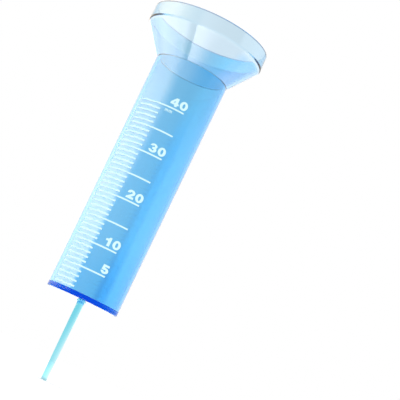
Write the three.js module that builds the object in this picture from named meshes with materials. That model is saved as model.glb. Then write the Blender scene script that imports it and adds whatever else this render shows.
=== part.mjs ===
// Manual rain gauge: a flared collector on a measuring tube, closed by a base disc with a mounting peg.
// Millimetres, +Z up. The origin is the centre of the base disc's underside, where the peg leaves it.
// Every piece is a body of revolution about Z.
import * as THREE from 'three';

// --- driving dimensions ---
const FACETS = 96;              // facets round each turned piece
const ARC_STEPS = 4;            // straight pieces in each rounded edge

const TUBE_BASE_R = 21.7;       // outer radius at the tube's lower end
const TUBE_NECK_R = 22.5;       // outer radius at its upper end: the draft of the moulding
const TUBE_WALL = 1.9;
const COLLECTOR_WALL = 1.5;     // square to the surface, in the cone and in the rim band

const BASE_TOP_Z = 2.8;         // upper face of the base disc, the floor of the bore
const BASE_EDGE_R = 0.6;        // rounding of the disc's lower edge

const NECK_Z = 147;             // where the tube ends and the cone begins
const CREASE_Z = 165.1;          // where the cone turns into the upright rim band
const CREASE_R = 36.0;          // outer radius at the crease, the widest ring
const RIM_Z = 174.3;             // top of the rim
const RIM_R = 35.8;             // outer radius at the top
const LIP_R = 0.4;              // rounding of the rim's two top edges

const PEG_LENGTH = 48.5;        // from the base disc's underside to the blunt end
const PEG_TIP_R = 1.7;
const PEG_ROOT_R = 2.05;
const PEG_FLARE_R = 2.8;        // the flared root that seats on the disc
const PEG_FLARE_LENGTH = 2.6;
const PEG_TIP_EDGE_R = 0.35;    // rounding of the blunt end's edge
const SPIGOT_R = 1.5;           // the stub above the flare, held in the disc's socket
const SPIGOT_LENGTH = 1.0;
const SOCKET_CLEARANCE = 0.3;   // round the spigot and above it
const SEAT_CLEARANCE = 0.4;     // from the peg's flare to the flat seat round it

// --- outline helpers: all outlines are (radius, height) points ---

const at = (radius, height) => new THREE.Vector2(radius, height);

// A quarter round about a centre, from one angle to another in quarter turns.
function quarterRound(centre, radius, fromQuarter, toQuarter) {
  const points = [];
  for (let step = 0; step <= ARC_STEPS; step += 1) {
    const quarter = THREE.MathUtils.lerp(fromQuarter, toQuarter, step / ARC_STEPS);
    const angle = (quarter * Math.PI) / 2;
    points.push(at(centre.x + radius * Math.cos(angle), centre.y + radius * Math.sin(angle)));
  }
  return points;
}

// The corner of the inner face behind a corner of the outer face, one wall away from both of its sides.
// The outer face runs upwards, so the inner side is on its left.
function innerCorner(before, corner, after, wall) {
  const arriving = corner.clone().sub(before).normalize();
  const leaving = after.clone().sub(corner).normalize();
  const normal = at(-arriving.y - leaving.y, arriving.x + leaving.x).normalize();
  const reach = wall / (normal.x * -arriving.y + normal.y * arriving.x);
  return corner.clone().addScaledVector(normal, reach);
}

// Turns an outline about Z. It runs anticlockwise, and starts and ends on the axis or closes on itself.
function turned(outline) {
  return new THREE.LatheGeometry(outline, FACETS).rotateX(Math.PI / 2);
}

function closed(outline) {
  return [...outline, outline[0].clone()];
}

// --- sub-parts ---

function collectorFunnel() {
  const neck = at(TUBE_NECK_R, NECK_Z);
  const crease = at(CREASE_R, CREASE_Z);
  const rim = at(RIM_R, RIM_Z);
  const aboveRim = rim.clone().multiplyScalar(2).sub(crease);
  const rimInside = innerCorner(crease, rim, aboveRim, COLLECTOR_WALL);
  return turned(closed([
    neck,
    crease,
    ...quarterRound(at(RIM_R - LIP_R, RIM_Z - LIP_R), LIP_R, 0, 1),
    ...quarterRound(at(rimInside.x + LIP_R, RIM_Z - LIP_R), LIP_R, 1, 2),
    innerCorner(neck, crease, rim, COLLECTOR_WALL),
    at(TUBE_NECK_R - TUBE_WALL, NECK_Z),
  ]));
}

function measuringTube() {
  return turned(closed([
    at(TUBE_BASE_R - TUBE_WALL, BASE_TOP_Z),
    at(TUBE_BASE_R, BASE_TOP_Z),
    at(TUBE_NECK_R, NECK_Z),
    at(TUBE_NECK_R - TUBE_WALL, NECK_Z),
  ]));
}

function baseDisc() {
  const socketR = SPIGOT_R + SOCKET_CLEARANCE;
  const socketTopZ = SPIGOT_LENGTH + SOCKET_CLEARANCE;
  return turned([
    at(0, socketTopZ),
    at(socketR, socketTopZ),
    at(socketR, 0),
    at(PEG_FLARE_R + SEAT_CLEARANCE, 0),
    ...quarterRound(at(TUBE_BASE_R - BASE_EDGE_R, BASE_EDGE_R), BASE_EDGE_R, -1, 0),
    at(TUBE_BASE_R, BASE_TOP_Z),
    at(0, BASE_TOP_Z),
  ]);
}

function mountingPeg() {
  const tipZ = -PEG_LENGTH;
  const flareFootZ = -PEG_FLARE_LENGTH;
  // the flare is a hollow curve that leaves the shaft smoothly and opens towards the disc
  const flare = [];
  for (let step = 0; step <= ARC_STEPS; step += 1) {
    const along = step / ARC_STEPS;
    flare.push(at(
      THREE.MathUtils.lerp(PEG_ROOT_R, PEG_FLARE_R, along * along * along),
      THREE.MathUtils.lerp(flareFootZ, 0, along),
    ));
  }
  return turned([
    at(0, tipZ),
    ...quarterRound(at(PEG_TIP_R - PEG_TIP_EDGE_R, tipZ + PEG_TIP_EDGE_R), PEG_TIP_EDGE_R, -1, 0),
    ...flare,
    at(SPIGOT_R, 0),
    at(SPIGOT_R, SPIGOT_LENGTH),
    at(0, SPIGOT_LENGTH),
  ]);
}

// --- materials and assembly ---

const clearPlastic = (color, opacity) => new THREE.MeshStandardMaterial({
  color, roughness: 0.08, metalness: 0, transparent: true, opacity,
});

function piece(name, geometry, material) {
  const mesh = new THREE.Mesh(geometry, material);
  mesh.name = name;
  return mesh;
}

const rainGauge = new THREE.Group();
rainGauge.add(
  piece('collector_funnel', collectorFunnel(), clearPlastic(0xbfe6fa, 0.4)),
  piece('measuring_tube', measuringTube(), clearPlastic(0x6fbdf2, 0.5)),
  piece('base_disc', baseDisc(), clearPlastic(0x1f52ea, 0.9)),
  piece('mounting_peg', mountingPeg(), clearPlastic(0x92e6f8, 0.7)),
);

export default rainGauge;
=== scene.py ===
"""Manual rain gauge: the clear tinted plastic pieces and the printed scale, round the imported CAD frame.

Metres, +Z up, the printed side towards -Y. Every plastic piece is a turned solid whose sizes are read
from its CAD node, with the rounded edges, fillets and joint lines of a real moulding.
"""
import math

import bmesh
import bpy
from mathutils import Euler, Matrix, Vector


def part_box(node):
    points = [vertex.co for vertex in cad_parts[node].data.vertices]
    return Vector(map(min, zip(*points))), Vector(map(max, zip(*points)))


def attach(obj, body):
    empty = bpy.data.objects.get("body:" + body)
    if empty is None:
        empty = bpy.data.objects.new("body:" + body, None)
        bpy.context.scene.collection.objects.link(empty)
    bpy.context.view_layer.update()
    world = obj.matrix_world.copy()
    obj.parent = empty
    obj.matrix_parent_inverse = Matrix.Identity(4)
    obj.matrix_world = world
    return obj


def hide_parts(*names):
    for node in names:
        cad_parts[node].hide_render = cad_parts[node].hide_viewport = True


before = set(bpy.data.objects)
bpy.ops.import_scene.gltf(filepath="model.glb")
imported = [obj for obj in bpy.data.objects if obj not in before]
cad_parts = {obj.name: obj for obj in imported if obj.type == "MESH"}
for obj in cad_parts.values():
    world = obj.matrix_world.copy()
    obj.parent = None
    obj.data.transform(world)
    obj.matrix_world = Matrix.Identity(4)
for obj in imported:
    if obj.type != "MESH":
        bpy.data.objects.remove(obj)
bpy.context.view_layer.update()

MM = 0.001
DEGREES = 180 / math.pi     # in one radian
WHITE = (1, 1, 1)

# ---------------------------------------------------------------- camera

CAMERA_LENS = 108.0
CAMERA_SENSOR = 36.0
CAMERA_PLACE = Vector((36.1, -680.0, -34.3)) * MM
CAMERA_PITCH = math.radians(9.64)     # looks slightly up
CAMERA_ROLL = math.radians(25.27)     # the gauge leans to the right in the picture
CLIP_START = 0.02
CLIP_END = 50.0


def make_camera():
    data = bpy.data.cameras.new("camera")
    data.lens = CAMERA_LENS
    data.sensor_width = CAMERA_SENSOR
    data.clip_start = CLIP_START
    data.clip_end = CLIP_END
    camera = bpy.data.objects.new("camera", data)
    bpy.context.scene.collection.objects.link(camera)
    turn = Euler((math.pi / 2 + CAMERA_PITCH, 0, 0)).to_matrix() @ Matrix.Rotation(CAMERA_ROLL, 3, "Z")
    camera.matrix_world = Matrix.Translation(CAMERA_PLACE) @ turn.to_4x4()
    bpy.context.scene.camera = camera


make_camera()

# ---------------------------------------------------------------- sizes read from the frame

SAME_HEIGHT = 0.01 * MM     # heights closer than this are one ring's
SAME_RADIUS = 0.001 * MM    # and radii
RIM_EDGE = 0.5 * MM         # the rim's rounded edges lie within this of its top
TIP_EDGE = 1.0 * MM         # the peg's rounded tip lies within this of its end
CLEAR_OF_FACE = 0.1 * MM    # a ring this far below a flat face is not one of the face's own


def rings(node):
    """Every (radius, height) at which a turned CAD node has vertices."""
    found = set()
    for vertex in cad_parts[node].data.vertices:
        x, y, z = vertex.co
        found.add((round(math.hypot(x, y), 6), round(z, 6)))
    return sorted(found)


def radius_at(node, height, pick):
    """The largest or smallest radius of a node's ring at a height."""
    return pick(r for r, z in rings(node) if abs(z - height) < SAME_HEIGHT)


disc_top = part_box("base_disc")[1].z
base_radius = radius_at("base_disc", disc_top, max)
neck_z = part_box("measuring_tube")[1].z
neck_radius = radius_at("measuring_tube", neck_z, max)
tube_wall = neck_radius - radius_at("measuring_tube", neck_z, min)
crease_radius, crease_z = max(rings("collector_funnel"))
rim_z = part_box("collector_funnel")[1].z
rim_radius = max(r for r, z in rings("collector_funnel") if z > rim_z - RIM_EDGE)
mouth_radius = min(r for r, z in rings("collector_funnel") if z > rim_z - RIM_EDGE)
rim_wall = rim_radius - mouth_radius
peg_tip_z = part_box("mounting_peg")[0].z
spigot_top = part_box("mounting_peg")[1].z
flare_radius = radius_at("mounting_peg", 0, max)
spigot_radius = radius_at("mounting_peg", spigot_top, max)
socket_top, socket_radius = max(
    (z, r) for r, z in rings("base_disc") if z < disc_top - CLEAR_OF_FACE and 0 < r < flare_radius
)
peg_tip_radius = max(r for r, z in rings("mounting_peg") if z < peg_tip_z + TIP_EDGE)
peg_root_radius = min(r for r, z in rings("mounting_peg") if peg_tip_z + TIP_EDGE < z < -CLEAR_OF_FACE)

# ---------------------------------------------------------------- turned meshes

TURN_STEPS = 256
ARC_STEPS = 6
SHARP_ANGLE = math.radians(28)
ON_AXIS = 1e-7          # a radius below this is a point on the axis
GUARD = 0.12 * MM       # a ring this close to each rounding keeps the shading of long walls straight
JOINT_GAP = 0.04 * MM   # the hairline of air under the tube and over the peg's flare
JOINT_LAP = 0.02 * MM   # how far the collector's foot sinks into the tube, as in a welded joint


def rounded(corners):
    """An outline's points from its corners (radius, height, rounding), with an arc at each rounding."""
    points = []
    count = len(corners)
    for i, (r, z, rounding) in enumerate(corners):
        corner = Vector((r, z))
        before = Vector(corners[i - 1][:2]) - corner
        after = Vector(corners[(i + 1) % count][:2]) - corner
        if rounding <= 0:
            points.append(corner)
            continue
        to_before, to_after = before.normalized(), after.normalized()
        half = to_before.angle(to_after) / 2
        reach = rounding / math.tan(half)
        centre = corner + (to_before + to_after).normalized() * (rounding / math.sin(half))
        start, end = corner + to_before * reach, corner + to_after * reach
        if before.length > reach + 3 * GUARD:
            points.append(start + to_before * GUARD)
        spoke = start - centre
        sweep = spoke.angle_signed(end - centre)
        for step in range(ARC_STEPS + 1):
            points.append(centre + Matrix.Rotation(-sweep * step / ARC_STEPS, 2) @ spoke)
        if after.length > reach + 3 * GUARD:
            points.append(end + to_after * GUARD)
    return points


def turned(name, outline, material, closed=True):
    """A solid of revolution about Z. A closed outline is a ring; an open one starts and ends on the axis."""
    verts, faces, rows = [], [], []
    for r, z in outline:
        if r < ON_AXIS:
            rows.append([len(verts)] * TURN_STEPS)
            verts.append((0, 0, z))
            continue
        rows.append(range(len(verts), len(verts) + TURN_STEPS))
        for step in range(TURN_STEPS):
            angle = 2 * math.pi * step / TURN_STEPS
            verts.append((r * math.cos(angle), r * math.sin(angle), z))
    pairs = list(zip(rows, rows[1:]))
    if closed:
        pairs.append((rows[-1], rows[0]))
    for low, high in pairs:
        for step in range(TURN_STEPS):
            after = (step + 1) % TURN_STEPS
            quad = [low[step], low[after], high[after], high[step]]
            faces.append(list(dict.fromkeys(quad)))
    return make_object(name, verts, faces, material)


def make_object(name, verts, faces, material):
    mesh = bpy.data.meshes.new(name)
    mesh.from_pydata(verts, [], faces)
    mesh.validate()
    solid = bmesh.new()
    solid.from_mesh(mesh)
    bmesh.ops.recalc_face_normals(solid, faces=solid.faces)
    solid.to_mesh(mesh)
    solid.free()
    mesh.shade_smooth()
    mesh.set_sharp_from_angle(angle=SHARP_ANGLE)
    mesh.materials.append(material)
    made = bpy.data.objects.new(name, mesh)
    bpy.context.scene.collection.objects.link(made)
    return made


# ---------------------------------------------------------------- materials

PLASTIC_IOR = 1.55
PEG_IOR = 1.22          # the peg and the disc bend light less, so that they show their own tint
BASE_IOR = 1.15
CREASE_IOR = 1.25       # the front of the collector's crease, a soft line
BEAD_IOR = 1.18         # the bead of the weld, where light leaves through the collector's outer face
BEAD_HEIGHT = 0.6       # how far the bead reaches above the neck, in millimetres
BEAD_FADE = 0.2         # and over how much of that it fades out
JOINT_IOR = 1.001       # the two faces of the weld, which light passes unbent
CLEAN_ROUGHNESS = 0.015
SMUDGED_ROUGHNESS = 0.06
SMUDGE_SCALE = 240.0    # noise scales are about how many patches there are in a metre
WAVE_SCALE = 60.0
WAVE_STRENGTH = 0.05
INK_GRAIN_SCALE = 2500.0
CREASE_CORE = 0.32      # the crease's line is at full strength this far up and down, in millimetres
CREASE_REACH = 0.8      # and has faded out this far
DEEPEST_REFLECTION_TURN = 138      # where the collector's painted reflection of the blue tube is deepest, in degrees from the front
LEFT_SHADE_TURN = -21  # where its band of painted shade and its band of painted reflection are
RIGHT_REFLECTION_TURN = 61
TUBE_SHADE_TURN = 155  # where the tube's band of painted shade is

# surface tints, painted shade and painted reflections among them, as noted
CONE_TINT = (0.97, 0.95, 0.96)
# painted reflection of the blue tube at the back of the collector
DEEP_REFLECTION_TINT = (0.32, 0.78, 1.0)
# painted shade in a band at the front left of the collector's cone
LEFT_SHADE_TINT = (0.77, 0.88, 0.9)
# painted reflection of the blue tube in a band at the front right of the cone
RIGHT_REFLECTION_TINT = (0.62, 0.79, 0.93)
# painted shade on the collector's lip
LIP_SHADE_TINT = (0.62, 0.57, 0.64)
# painted shade along the front of the crease where it is seen edge-on
CREASE_SHADE_TINT = (0.12, 0.34, 0.8)
# painted reflection of the disc's blue glow, towards the tube's foot
TUBE_FOOT_REFLECTION_TINT = (0.82, 0.95, 1.0)
TUBE_NECK_TINT = (1.0, 0.97, 0.95)
# painted shade in a band at the right of the tube's back
TUBE_SHADE_TINT = (0.42, 0.7, 0.93)
# painted shade where the tube is seen edge-on
TUBE_EDGE_SHADE_TINT = (0.4, 0.42, 0.45)
# painted shade along both edges of the disc
DISC_EDGE_SHADE_TINT = (0.75, 0.8, 0.85)
# painted shade on the peg's left
PEG_LEFT_SHADE_TINT = (0.5, 0.82, 0.87)
# painted shade towards the peg's root, more on the left
PEG_ROOT_SHADE_TINT = (0.36, 0.74, 0.82)
PEG_TIP_TINT = (0.6, 0.66, 0.68)
INK_COLOUR = (0.61, 0.87, 0.9)
PALER_INK_COLOUR = (0.66, 0.91, 0.94)


def add(tree, kind, inputs=None, **settings):
    """A new node with its settings, and its inputs set or linked by name or number."""
    node = tree.nodes.new(kind)
    for key, value in settings.items():
        setattr(node, key, value)
    for key, value in (inputs or {}).items():
        if isinstance(value, bpy.types.NodeSocket):
            tree.links.new(value, node.inputs[key])
        else:
            node.inputs[key].default_value = value
    return node


def maths(tree, operation, *values):
    return add(tree, "ShaderNodeMath", dict(enumerate(values)), operation=operation).outputs[0]


def total(tree, *values):
    result = values[0]
    for value in values[1:]:
        result = maths(tree, "ADD", result, value)
    return result


def product(tree, *values):
    result = values[0]
    for value in values[1:]:
        result = maths(tree, "MULTIPLY", result, value)
    return result


def noise(tree, place, scale, detail=2.0):
    return add(tree, "ShaderNodeTexNoise", {"Vector": place, "Scale": scale, "Detail": detail}).outputs["Fac"]


def ease(tree, value, start, end, low=0.0, high=1.0):
    """value eased from low at start to high at end."""
    inputs = {"Value": value, "From Min": start, "From Max": end, "To Min": low, "To Max": high}
    return add(tree, "ShaderNodeMapRange", inputs, interpolation_type="SMOOTHSTEP").outputs["Result"]


def soft_band(tree, value, middle, full, reach):
    """1 within full of a value's middle, falling to 0 at reach from it."""
    away = maths(tree, "ABSOLUTE", maths(tree, "SUBTRACT", value, middle))
    return ease(tree, away, reach, full)


def edge_on(tree, start, end):
    """0 where a face is seen more squarely than start, 1 where it is seen more edge-on than end."""
    return ease(tree, add(tree, "ShaderNodeLayerWeight", {"Blend": 0.5}).outputs["Facing"], start, end)


def blend(tree, factor, first, second):
    """One colour mixed into another. Each is a triple or a node's output."""
    inputs = {0: factor, 6: first, 7: second}
    for key in (6, 7):
        if isinstance(inputs[key], tuple):
            inputs[key] = (*inputs[key], 1)
    return add(tree, "ShaderNodeMix", inputs, data_type="RGBA").outputs[2]


def layers(tree, ground, *coats):
    """A ground colour under coats. Each coat is its strength and its colour, laid over the ones before."""
    for strength, colour in coats:
        ground = blend(tree, strength, ground, colour)
    return ground


def degrees_from_front(tree, x, y):
    """The direction of (x, y) in degrees from the front, positive to the right."""
    return product(tree, maths(tree, "ARCTAN2", x, product(tree, y, -1.0)), DEGREES)


def new_material(name):
    material = bpy.data.materials.new(name)
    material.use_nodes = True
    material.node_tree.nodes.clear()
    return material, material.node_tree


def clear_plastic(name, absorption, tint, ior=PLASTIC_IOR):
    """Clear gloss plastic. absorption is how much of each colour a millimetre takes off, as a logarithm;
    tint is a function that adds its surface tint's nodes."""
    material, tree = new_material(name)
    place = add(tree, "ShaderNodeTexCoord").outputs["Object"]
    waves = noise(tree, place, WAVE_SCALE)
    bump = add(tree, "ShaderNodeBump", {"Height": waves, "Strength": WAVE_STRENGTH, "Distance": MM})
    marks = noise(tree, place, SMUDGE_SCALE, detail=4.0)
    turn, height, radius = cylinder_place(tree, place)
    principled = add(tree, "ShaderNodeBsdfPrincipled", {
        "Base Color": tint(tree, turn, height),
        "Roughness": ease(tree, marks, 0.5, 0.8, CLEAN_ROUGHNESS, SMUDGED_ROUGHNESS),
        "IOR": bending(tree, turn, height, radius, ior),
        "Transmission Weight": 1.0,
        "Normal": bump.outputs["Normal"],
    })
    densest = max(absorption)
    colour = tuple(1 - share / densest for share in absorption)
    volume = add(tree, "ShaderNodeVolumeAbsorption", {"Color": (*colour, 1), "Density": densest / MM})
    add(tree, "ShaderNodeOutputMaterial", {
        "Surface": principled.outputs[0], "Volume": volume.outputs[0],
    })
    return material


def cylinder_place(tree, place):
    """Degrees from the front, positive to the right, and height and radius in millimetres."""
    x, y, z = add(tree, "ShaderNodeSeparateXYZ", {0: place}).outputs
    radius = maths(tree, "SQRT", total(tree, product(tree, x, x), product(tree, y, y)))
    return degrees_from_front(tree, x, y), product(tree, z, 1 / MM), product(tree, radius, 1 / MM)


def bending(tree, turn, height, radius, ior):
    """How strongly the plastic bends light: less at the front of the crease, at the bead of the weld that
    joins the collector to the tube, and at the weld's own faces."""
    neck = neck_z / MM
    crease = product(
        tree,
        soft_band(tree, height, crease_z / MM, CREASE_CORE, CREASE_REACH),
        ease(tree, maths(tree, "ABSOLUTE", turn), 115, 95),
    )
    bead = product(
        tree,
        maths(tree, "GREATER_THAN", height, neck),
        ease(tree, height, neck + BEAD_HEIGHT, neck + BEAD_HEIGHT - BEAD_FADE),
        add(tree, "ShaderNodeNewGeometry").outputs["Backfacing"],
        maths(tree, "GREATER_THAN", radius, (neck_radius - tube_wall / 2) / MM),
    )
    # both faces of the weld lie half a lap from its middle
    joint = maths(tree, "COMPARE", height, (neck_z - JOINT_LAP / 2) / MM, 0.7 * JOINT_LAP / MM)
    for share, softer in ((bead, BEAD_IOR), (crease, CREASE_IOR), (joint, JOINT_IOR)):
        ior = add(tree, "ShaderNodeMix", {0: share, 2: ior, 3: softer}).outputs[0]
    return ior


def collector_tint(tree, turn, height):
    """A painted reflection of the blue tube, deepest at the right of the back and in a soft band at the front
    right; a soft band of painted shade at the front left;
    painted shade, grey, on the lip; and painted shade, blue, where the front of the crease is seen edge-on.
    Heights are in millimetres, turns in degrees."""
    crease = crease_z / MM
    rim = rim_z / MM
    # a cosine, so that the deep part runs on across the back, where turn jumps from 180 to -180
    from_deepest = product(tree, maths(tree, "SUBTRACT", turn, DEEPEST_REFLECTION_TURN), 1 / DEGREES)
    near_deepest = maths(tree, "COSINE", from_deepest)
    # painted reflection of the blue tube, at the right of the back
    deep_reflection = product(tree, ease(tree, near_deepest, 0.55, 0.97), ease(tree, height, 152, 166, 0.65, 1.0))
    # painted shade in a band at the front left
    left_shade = product(
        tree, soft_band(tree, turn, LEFT_SHADE_TURN, 6, 15), ease(tree, height, 158, 153, 0.3, 1.0)
    )
    # painted reflection of the blue tube in a band at the front right
    right_reflection = product(
        tree, soft_band(tree, turn, RIGHT_REFLECTION_TURN, 13, 26), ease(tree, height, 165, 162)
    )
    # painted shade on the lip
    lip_shade = ease(tree, height, rim - 0.75, rim - 0.3)
    # painted shade where the front of the crease is seen edge-on
    crease_shade = product(
        tree,
        soft_band(tree, height, crease, CREASE_CORE, CREASE_REACH),
        edge_on(tree, 0.37, 0.52),
        ease(tree, maths(tree, "ABSOLUTE", turn), 125, 105),
    )
    return layers(
        tree, WHITE,
        (ease(tree, height, crease, crease - 2), CONE_TINT),
        (deep_reflection, DEEP_REFLECTION_TINT),
        (left_shade, LEFT_SHADE_TINT),
        (right_reflection, RIGHT_REFLECTION_TINT),
        (lip_shade, LIP_SHADE_TINT),
        (crease_shade, CREASE_SHADE_TINT),
    )


def tube_tint(tree, turn, height):
    """Deeper towards the bottom, a painted reflection of the disc's blue glow, and deeper in a band of
    painted shade at the right of the back; a little warmer at the top; and painted shade, grey, where it is
    seen edge-on."""
    # painted shade in a band at the right of the back
    tube_shade = product(
        tree,
        soft_band(tree, turn, TUBE_SHADE_TURN, 5, 19),
        ease(tree, height, 8, 50, 1.0, 0.4),
        ease(tree, height, 140, 100),
    )
    return layers(
        tree, TUBE_FOOT_REFLECTION_TINT,
        (ease(tree, height, 0, 50), WHITE),
        (ease(tree, height, 90, neck_z / MM), TUBE_NECK_TINT),
        (tube_shade, TUBE_SHADE_TINT),
        # painted shade where the tube is seen edge-on
        (edge_on(tree, 0.72, 0.84), TUBE_EDGE_SHADE_TINT),
    )


def base_tint(tree, turn, height):
    """Painted shade: a little darker along both edges of the disc."""
    middle = soft_band(tree, height, disc_top / MM / 2, 0.7, 1.3)
    return blend(tree, middle, DISC_EDGE_SHADE_TINT, WHITE)


def peg_tint(tree, turn, height):
    """Painted shade, deeper on the left and towards the root; greyer at the blunt tip."""
    tip = peg_tip_z / MM
    rightwards = maths(tree, "SINE", product(tree, turn, 1 / DEGREES))
    # painted shade towards the root, more on the left
    root = product(tree, ease(tree, height, -36, -2), ease(tree, rightwards, 0.9, -0.6, 0.45, 1.0))
    return layers(
        tree, WHITE,
        (ease(tree, rightwards, 0.9, -0.9), PEG_LEFT_SHADE_TINT),
        (root, PEG_ROOT_SHADE_TINT),
        (ease(tree, height, tip + 2.5, tip + 0.5), PEG_TIP_TINT),
    )


def white_ink():
    material, tree = new_material("scale_ink")
    place = add(tree, "ShaderNodeTexCoord").outputs["Object"]
    shade = ease(tree, noise(tree, place, INK_GRAIN_SCALE), 0.3, 0.7)
    principled = add(tree, "ShaderNodeBsdfPrincipled", {
        "Base Color": blend(tree, shade, INK_COLOUR, PALER_INK_COLOUR),
        "Roughness": 0.7,
        "Specular IOR Level": 0.1,
    })
    add(tree, "ShaderNodeOutputMaterial", {"Surface": principled.outputs[0]})
    return material


collector_plastic = clear_plastic("collector_plastic", absorption=(0.28, 0.12, 0.035), tint=collector_tint)
tube_plastic = clear_plastic("tube_plastic", absorption=(0.457, 0.151, 0.0188), tint=tube_tint)
base_plastic = clear_plastic("base_plastic", absorption=(0.14, 0.066, 0.011), tint=base_tint, ior=BASE_IOR)
peg_plastic = clear_plastic("peg_plastic", absorption=(0.19, 0.028, 0.004), tint=peg_tint, ior=PEG_IOR)
ink = white_ink()

# ---------------------------------------------------------------- plastic pieces

CREASE_ROUND = 0.35 * MM
INNER_CREASE_ROUND = 1.2 * MM
LIP_ROUND = 0.38 * MM
TUBE_FOOT_ROUND = 0.15 * MM
DISC_LOWER_ROUND = 0.75 * MM
DISC_UPPER_ROUND = 0.15 * MM
SOCKET_TOP_ROUND = 0.1 * MM
SOCKET_MOUTH_ROUND = 0.15 * MM
PEG_TIP_ROUND = 0.4 * MM
SPIGOT_ROUND = 0.2 * MM
FLARE_STEPS = 12


def inner_corner(before, corner, after, wall):
    """The inside corner of a wall, one thickness away from both of its outer sides."""
    arriving = (Vector(corner) - Vector(before)).normalized()
    leaving = (Vector(after) - Vector(corner)).normalized()
    normal = Vector((-arriving.y - leaving.y, arriving.x + leaving.x)).normalized()
    reach = wall / (normal.x * -arriving.y + normal.y * arriving.x)
    return Vector(corner) + normal * reach


def tube_radius(z):
    share = (z - disc_top) / (neck_z - disc_top)
    return base_radius + (neck_radius - base_radius) * share


def make_collector():
    neck, crease, rim = (neck_radius, neck_z), (crease_radius, crease_z), (rim_radius, rim_z)
    inner_crease = inner_corner(neck, crease, rim, rim_wall)
    outline = rounded([
        (neck_radius, neck_z - JOINT_LAP, 0.0),
        (*crease, CREASE_ROUND),
        (*rim, LIP_ROUND),
        (mouth_radius, rim_z, LIP_ROUND),
        (*inner_crease, INNER_CREASE_ROUND),
        (neck_radius - tube_wall, neck_z - JOINT_LAP, 0.0),
    ])
    piece = turned("collector_funnel_moulding", outline, collector_plastic)
    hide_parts("collector_funnel")
    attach(piece, "root")


def make_tube():
    foot_z = disc_top + JOINT_GAP
    outline = rounded([
        (base_radius - tube_wall, foot_z, 0.0),
        (base_radius, foot_z, TUBE_FOOT_ROUND),
        (neck_radius, neck_z, 0.0),
        (neck_radius - tube_wall, neck_z, 0.0),
    ])
    piece = turned("measuring_tube_moulding", outline, tube_plastic)
    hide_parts("measuring_tube")
    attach(piece, "root")


def make_disc():
    outline = rounded([
        (0, socket_top, 0.0),
        (socket_radius, socket_top, SOCKET_TOP_ROUND),
        (socket_radius, 0, SOCKET_MOUTH_ROUND),
        (base_radius, 0, DISC_LOWER_ROUND),
        (base_radius, disc_top, DISC_UPPER_ROUND),
        (0, disc_top, 0.0),
    ])
    piece = turned("base_disc_moulding", outline, base_plastic, closed=False)
    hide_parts("base_disc")
    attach(piece, "root")


def make_peg():
    root_rings = [z for r, z in rings("mounting_peg") if r <= peg_root_radius + SAME_RADIUS]
    flare_foot = min(z for z in root_rings if z > peg_tip_z / 2)
    corners = [(0, peg_tip_z, 0.0), (peg_tip_radius, peg_tip_z, PEG_TIP_ROUND)]
    for step in range(FLARE_STEPS + 1):
        along = step / FLARE_STEPS
        radius = peg_root_radius + (flare_radius - peg_root_radius) * along ** 3
        corners.append((radius, flare_foot * (1 - along) - JOINT_GAP * along, 0.0))
    corners += [
        (spigot_radius, -JOINT_GAP, 0.0),
        (spigot_radius, spigot_top, SPIGOT_ROUND),
        (0, spigot_top, 0.0),
    ]
    piece = turned("mounting_peg_moulding", rounded(corners), peg_plastic, closed=False)
    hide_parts("mounting_peg")
    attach(piece, "root")


make_collector()
make_tube()
make_disc()
make_peg()

# ---------------------------------------------------------------- printed scale

SCALE_MIDDLE = 0.4      # how far up the tube the middle of the scale lies
bore_radius = base_radius + (neck_radius - base_radius) * SCALE_MIDDLE - tube_wall
MM_OF_RAIN = (mouth_radius / bore_radius) ** 2 * MM   # how far 1 mm of rain lifts the level in the bore
SCALE_START = disc_top - 1.1 * MM                     # the print sits a little low on the tube
INK_LOW, INK_HIGH = 0.01 * MM, 0.05 * MM
INK_STEP = math.radians(1.5)        # a line bends round the tube in flat pieces of this turn
SHORT_WIDTH = 1.0 * MM
LONG_WIDTH = 0.88 * MM
LONG_EVERY = 5
LAST_MARK = 40
LINES_LEFT = math.radians(-55)      # angles from the front, negative to the left
SHORT_RIGHT = math.radians(-16)
LONG_RIGHT = math.radians(18.5)
FINE_LEFT = math.radians(-62)
FINE_RIGHT = math.radians(-58.5)
FINE_FIRST_MARK = 18                # the fine dashes start at this line's height
FINE_LAST_MARK = LAST_MARK + 0.5
FINE_HEIGHT = 0.75 * MM
FINE_STEP = 1.3 * MM


def on_tube(angle, z, lift):
    """A point on the tube's face, at an angle from the front."""
    r = tube_radius(z) + lift
    return (r * math.sin(angle), -r * math.cos(angle), z)


def mark_z(mark):
    return SCALE_START + mark * MM_OF_RAIN


def line_patch(verts, faces, left, right, z, width):
    """A thin curved bar of ink, added to verts and faces."""
    steps = max(2, round((right - left) / INK_STEP))
    start = len(verts)
    for step in range(steps + 1):
        angle = left + (right - left) * step / steps
        for lift in (INK_LOW, INK_HIGH):
            verts.append(on_tube(angle, z - width / 2, lift))
            verts.append(on_tube(angle, z + width / 2, lift))
    for step in range(steps):
        a = start + 4 * step
        b = a + 4
        faces += [(a, b, b + 1, a + 1), (a + 2, a + 3, b + 3, b + 2)]
        faces += [(a, a + 2, b + 2, b), (a + 1, b + 1, b + 3, a + 3)]
    last = start + 4 * steps
    faces += [(start, start + 1, start + 3, start + 2), (last, last + 2, last + 3, last + 1)]


def make_scale_lines():
    verts, faces = [], []
    for mark in range(1, LAST_MARK + 1):
        if mark % LONG_EVERY == 0:
            line_patch(verts, faces, LINES_LEFT, LONG_RIGHT, mark_z(mark), LONG_WIDTH)
        else:
            line_patch(verts, faces, LINES_LEFT, SHORT_RIGHT, mark_z(mark), SHORT_WIDTH)
    piece = make_object("scale_lines", verts, faces, ink)
    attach(piece, "root")


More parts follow.
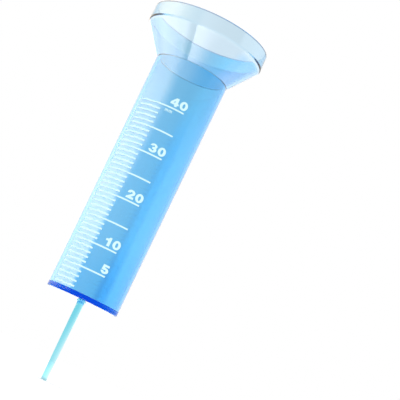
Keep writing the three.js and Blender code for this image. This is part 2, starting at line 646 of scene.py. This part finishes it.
def make_fine_marks():
    """A column of fine dashes left of the upper half of the scale."""
    verts, faces = [], []
    z = mark_z(FINE_FIRST_MARK)
    while z < mark_z(FINE_LAST_MARK):
        line_patch(verts, faces, FINE_LEFT, FINE_RIGHT, z, FINE_HEIGHT)
        z += FINE_STEP
    piece = make_object("scale_fine_marks", verts, faces, ink)
    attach(piece, "root")


make_scale_lines()
make_fine_marks()

NUMBERED_MARKS = (5, 10, 20, 30, 40)
NUMERAL_HEIGHT = 5.0 * MM
NUMERAL_STEP = 5.4 * MM         # from one digit's middle to the next one's
NUMERAL_LIFT = 1.4 * MM         # from the middle of a line to the foot of the number on it
NUMERAL_RIGHT = math.radians(20.2)
UNIT_HEIGHT = 1.5 * MM
UNIT_STEP = 2.4 * MM
UNIT_LEFT = math.radians(-9)
UNIT_DROP = 3.0 * MM            # from the middle of the top line to the unit's foot
SLICE = 0.45 * MM               # the width of the strips in which the print bends round the tube
ONE_POINT = 0.001 * MM          # points of the print closer than this are one
ON_CUT = 1e-8                   # points this close to a strip's edge lie on it
ARC_STEP = 6                    # degrees between the points of a digit's curves


def arc(x, y, rx, ry, start, end):
    """Points of an elliptic arc, angles in degrees."""
    steps = max(3, round(abs(end - start) / ARC_STEP))
    points = []
    for step in range(steps + 1):
        angle = math.radians(start + (end - start) * step / steps)
        points.append((x + rx * math.cos(angle), y + ry * math.sin(angle)))
    return points


# each digit: its width and its outlines, 1 high, the second outline a hole
DIGITS = {
    "0": (0.96, [arc(0.48, 0.5, 0.48, 0.515, 0, 354), arc(0.48, 0.5, 0.15, 0.28, 0, 354)]),
    "1": (0.64, [[
        (0.30, 0), (0.64, 0), (0.64, 1), (0.38, 1), (0.32, 0.88), (0.2, 0.81), (0, 0.79), (0, 0.57),
        (0.30, 0.57),
    ]]),
    "2": (0.92, [
        arc(0.46, 0.67, 0.45, 0.345, 190, -38) + [(0.52, 0.25), (0.91, 0.25), (0.91, 0), (0, 0), (0.01, 0.17)]
        + arc(0.46, 0.67, 0.13, 0.11, -45, 190),
    ]),
    "3": (0.92, [
        arc(0.45, 0.715, 0.41, 0.30, 178, -40) + arc(0.45, 0.30, 0.47, 0.315, 42, -180)
        + arc(0.45, 0.30, 0.13, 0.095, 180, 450) + [(0.34, 0.41), (0.34, 0.61)]
        + arc(0.45, 0.715, 0.115, 0.09, -90, 178),
    ]),
    "4": (1.0, [
        [
            (0.52, 0), (0.84, 0), (0.84, 0.18), (1.0, 0.18), (1.0, 0.41), (0.84, 0.41), (0.84, 1), (0.52, 1),
            (0, 0.42), (0, 0.18), (0.52, 0.18),
        ],
        [(0.52, 0.41), (0.52, 0.66), (0.3, 0.41)],
    ]),
    "5": (0.92, [
        [(0.1, 1), (0.85, 1), (0.85, 0.76), (0.38, 0.76), (0.365, 0.65)]
        + arc(0.46, 0.32, 0.46, 0.335, 98, -178) + arc(0.46, 0.32, 0.13, 0.1, 188, 500) + [(0.04, 0.41)],
    ]),
}

# the unit's letter, 1 high
LETTER_M = [
    (0, 0), (0.24, 0), (0.24, 0.68), (0.33, 0.77), (0.45, 0.77), (0.52, 0.68), (0.52, 0), (0.76, 0),
    (0.76, 0.68), (0.85, 0.77), (0.97, 0.77), (1.04, 0.68), (1.04, 0), (1.28, 0), (1.28, 0.78), (1.18, 0.96),
    (1.0, 1.0), (0.84, 0.97), (0.73, 0.86), (0.62, 0.97), (0.46, 1.0), (0.32, 0.96), (0.24, 0.86),
    (0.24, 0.98), (0, 0.98),
]


def flat_print(name, outlines):
    """A flat mesh filled from outlines in metres, x along the print and y up; inner outlines are holes."""
    curve = bpy.data.curves.new(name, "CURVE")
    curve.dimensions = "2D"
    curve.fill_mode = "BOTH"
    curve.extrude = (INK_HIGH - INK_LOW) / 2
    for outline in outlines:
        spline = curve.splines.new("POLY")
        spline.points.add(len(outline) - 1)
        for point, (x, y) in zip(spline.points, outline):
            point.co = (x, y, 0, 1)
        spline.use_cyclic_u = True
    flat = bpy.data.objects.new(name, curve)
    mesh = bpy.data.meshes.new_from_object(flat)
    bpy.data.objects.remove(flat)
    bpy.data.curves.remove(curve)
    return mesh


def wrapped_print(name, outlines):
    """Ink outlines bent round the tube. x is measured along the tube's face from the front, y upwards."""
    mesh = flat_print(name, outlines)
    ink_mesh = bmesh.new()
    ink_mesh.from_mesh(mesh)
    bmesh.ops.remove_doubles(ink_mesh, verts=ink_mesh.verts, dist=ONE_POINT)
    xs = [v.co.x for v in ink_mesh.verts]
    cut = math.floor(min(xs) / SLICE) + 1
    while cut * SLICE < max(xs):
        everything = ink_mesh.verts[:] + ink_mesh.edges[:] + ink_mesh.faces[:]
        bmesh.ops.bisect_plane(
            ink_mesh, geom=everything, dist=ON_CUT, plane_co=(cut * SLICE, 0, 0), plane_no=(1, 0, 0)
        )
        cut += 1
    middle = (INK_LOW + INK_HIGH) / 2
    for vert in ink_mesh.verts:
        angle = vert.co.x / neck_radius
        vert.co = on_tube(angle, vert.co.y, middle + vert.co.z)
    bmesh.ops.recalc_face_normals(ink_mesh, faces=ink_mesh.faces)
    ink_mesh.to_mesh(mesh)
    ink_mesh.free()
    mesh.materials.append(ink)
    piece = bpy.data.objects.new(name, mesh)
    bpy.context.scene.collection.objects.link(piece)
    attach(piece, "root")


def number_outlines(text, right, foot, height):
    """The outlines of a number whose foot is given, and the right edge of its last digit if that is an 0."""
    outlines = []
    middle = right - DIGITS["0"][0] * height / 2
    for digit in reversed(text):
        width, shapes = DIGITS[digit]
        left = middle - width * height / 2
        for shape in shapes:
            outlines.append([(left + px * height, foot + py * height) for px, py in shape])
        middle -= NUMERAL_STEP
    return outlines


def make_numerals():
    right = NUMERAL_RIGHT * neck_radius
    for mark in NUMBERED_MARKS:
        outlines = number_outlines(str(mark), right, mark_z(mark) + NUMERAL_LIFT, NUMERAL_HEIGHT)
        wrapped_print(f"scale_number_{mark}", outlines)


def make_unit():
    """A small plain "mm" under the top line."""
    outlines = []
    left = UNIT_LEFT * neck_radius
    foot = mark_z(LAST_MARK) - UNIT_DROP
    for place in (0, UNIT_STEP):
        outlines.append([(left + place + px * UNIT_HEIGHT, foot + py * UNIT_HEIGHT) for px, py in LETTER_M])
    wrapped_print("scale_unit", outlines)


make_numerals()
make_unit()

# ---------------------------------------------------------------- studio

FLOOR_HALF_WIDTH = 8.0
FLOOR_GLOW = 0.19
FLOOR_GRAIN_SCALE = 8.0
PAGE_COLOUR = (0.9, 0.9, 0.9)
PALER_PAGE_COLOUR = (0.93, 0.93, 0.93)
SOFT_BOX_COLOUR = (1.0, 0.7, 0.34)
SOFT_BOX_WITHIN = (0.26, 0.42, 0.36)    # as the inner faces mirror it
CEILING_COLOUR = (0.15, 0.5, 1.0)       # as the plastic mirrors it
DARK_CEILING = (0.07, 0.27, 0.55)       # as seen through the plastic's bends
PALE_GREY = (0.97, 0.97, 0.97)          # under that ceiling, as seen through the plastic

# brightness of each card, white being 1
BOX_LOW = 7.6
BOX_HIGH = 4.4
RIGHT_BOX_LOW = 0.35
RIGHT_BOX_HIGH = 0.9
FRONT_GLOW = 0.7
FRONT_PAGE = 4.9
LEFT_PAGE = 1.2
LEFT_PAGE_BELOW = 3.4
RIGHT_PAGE = 0.9
RIGHT_PAGE_BELOW = 0.6
FRONT_WALL = 0.3
BACK_WALL = 1.25

KEY_ENERGY = 6
KEY_SIZE = 0.8
KEY_PLACE = (-0.2, -0.1, 1.6)


def make_floor():
    """A white page. It is lit a little from within, so that it stays white out to the horizon."""
    material, tree = new_material("floor_white")
    place = add(tree, "ShaderNodeTexCoord").outputs["Object"]
    grain = noise(tree, place, FLOOR_GRAIN_SCALE)
    principled = add(tree, "ShaderNodeBsdfPrincipled", {
        "Base Color": blend(tree, grain, PAGE_COLOUR, PALER_PAGE_COLOUR),
        "Roughness": 0.9,
        "Specular IOR Level": 0.0,
        "Emission Color": (1, 1, 1, 1),
        "Emission Strength": FLOOR_GLOW,
    })
    add(tree, "ShaderNodeOutputMaterial", {"Surface": principled.outputs[0]})
    half = FLOOR_HALF_WIDTH
    corners = [(x, y, peg_tip_z) for x, y in ((-half, -half), (half, -half), (half, half), (-half, half))]
    floor = make_object("floor", corners, [(0, 1, 2, 3)], material)
    floor.visible_glossy = False    # the plastic mirrors the studio's cards below the horizon instead


# The cards are placed by turn, degrees from the front, positive to the right, and by rise, degrees above
# the horizon. Their soft edges are the pairs of angles below.


def soft_box(tree, turn, rise):
    """The big warm soft box on the left, whose right edge is sharper lower down."""
    high = ease(tree, rise, 13, 17)
    edge = total(tree, ease(tree, rise, 3, 13, -38, -14), product(tree, high, -14))
    edge_full = total(tree, ease(tree, rise, 3, 13, -52, -62), product(tree, high, -30))
    return product(
        tree,
        ease(tree, turn, edge, edge_full),
        ease(tree, turn, -150, -80, 0.1, 1.0),
        ease(tree, rise, 45, 25),
        ease(tree, rise, 1.8, 2.7),
        ease(tree, rise, 8, 17, BOX_LOW, BOX_HIGH),
    )


def pages_below(tree, turn, rise):
    """The white pages under the cone: in front, and lower and higher ones at the left and the right."""
    below = ease(tree, rise, -12, -30)
    low = ease(tree, rise, 2, -14)
    front = product(tree, below, ease(tree, turn, -37, -34), ease(tree, turn, 40, -34, 0.2, 1.0), FRONT_PAGE)
    left = total(tree, product(tree, low, LEFT_PAGE), product(tree, below, LEFT_PAGE_BELOW))
    right = total(tree, product(tree, low, RIGHT_PAGE), product(tree, below, RIGHT_PAGE_BELOW))
    return total(
        tree,
        front,
        product(tree, ease(tree, turn, -40, -66), left),
        product(tree, ease(tree, turn, 84, 98), right),
    )


def white_cards(tree, turn, rise):
    """The walls, darker in front and towards the ceiling, a glow in front, a box on the right and the
    pages below."""
    walls = product(
        tree,
        ease(tree, maths(tree, "ABSOLUTE", turn), 60, 150, FRONT_WALL, BACK_WALL),
        ease(tree, rise, 50, 25, 0.15, 1.0),
        ease(tree, rise, 17, 14, 0.7, 1.0),
    )
    front_glow = product(
        tree,
        ease(tree, turn, 30, -30),
        ease(tree, turn, -100, -50),
        ease(tree, rise, 50, 20),
        ease(tree, rise, -30, -12),
        FRONT_GLOW,
    )
    right_box = product(
        tree,
        ease(tree, turn, 58, 70),
        ease(tree, turn, 150, 100, 0.2, 1.0),
        ease(tree, rise, 45, 25),
        ease(tree, rise, -40, -20),
        ease(tree, rise, 14, 18, RIGHT_BOX_LOW, RIGHT_BOX_HIGH),
    )
    return total(tree, walls, front_glow, right_box, pages_below(tree, turn, rise))


def grey(tree, brightness):
    return add(tree, "ShaderNodeCombineXYZ", dict.fromkeys(range(3), brightness)).outputs[0]


def mirrored_studio(tree, turn, rise, bent):
    """The colour of the studio that the plastic mirrors. bent is 1 for light that has gone through it."""
    box_colour = blend(tree, bent, SOFT_BOX_COLOUR, SOFT_BOX_WITHIN)
    cool = ease(tree, rise, 25, 60)
    cards = grey(tree, white_cards(tree, turn, rise))
    for colour, brightness in ((box_colour, soft_box(tree, turn, rise)), (CEILING_COLOUR, cool)):
        inputs = {0: colour, 1: grey(tree, brightness), 2: cards}
        cards = add(tree, "ShaderNodeVectorMath", inputs, operation="MULTIPLY_ADD").outputs[0]
    return cards


def make_world():
    """Plain white for the eye and for soft light. Rays that the plastic has bent see a darker ceiling, which
    draws its edges, and rays that it has mirrored see the studio's cards."""
    world = bpy.data.worlds.new("studio")
    bpy.context.scene.world = world
    world.use_nodes = True
    tree = world.node_tree
    tree.nodes.clear()
    way = add(tree, "ShaderNodeTexCoord").outputs["Generated"]
    x, y, z = add(tree, "ShaderNodeSeparateXYZ", {0: way}).outputs
    turn = degrees_from_front(tree, x, y)
    rise = product(tree, maths(tree, "ARCSINE", z), DEGREES)
    path = add(tree, "ShaderNodeLightPath").outputs
    bent = maths(tree, "GREATER_THAN", path["Transmission Depth"], 0.5)
    mirrored = maths(tree, "GREATER_THAN", path["Glossy Depth"], 0.5)
    soft = maths(tree, "GREATER_THAN", path["Diffuse Depth"], 0.5)
    through = layers(
        tree, WHITE,
        (ease(tree, rise, 8, 17), PALE_GREY),
        (ease(tree, rise, 20, 50), DARK_CEILING),
    )
    light = layers(
        tree, WHITE,
        (bent, through),
        (mirrored, mirrored_studio(tree, turn, rise, bent)),
        (soft, WHITE),
    )
    background = add(tree, "ShaderNodeBackground", {"Color": light, "Strength": 1.0})
    add(tree, "ShaderNodeOutputWorld", {"Surface": background.outputs[0]})


def make_key_light():
    """A soft lamp overhead that lights the page and the ink."""
    data = bpy.data.lights.new("key", "AREA")
    data.energy = KEY_ENERGY
    data.size = KEY_SIZE
    light = bpy.data.objects.new("key", data)
    bpy.context.scene.collection.objects.link(light)
    light.location = KEY_PLACE
    light.rotation_euler = (-light.location).to_track_quat("-Z", "Y").to_euler()
    light.visible_camera = False
    light.visible_transmission = False
    light.visible_glossy = False


make_floor()
make_world()
make_key_light()
bpy.context.scene.view_settings.view_transform = "Standard"
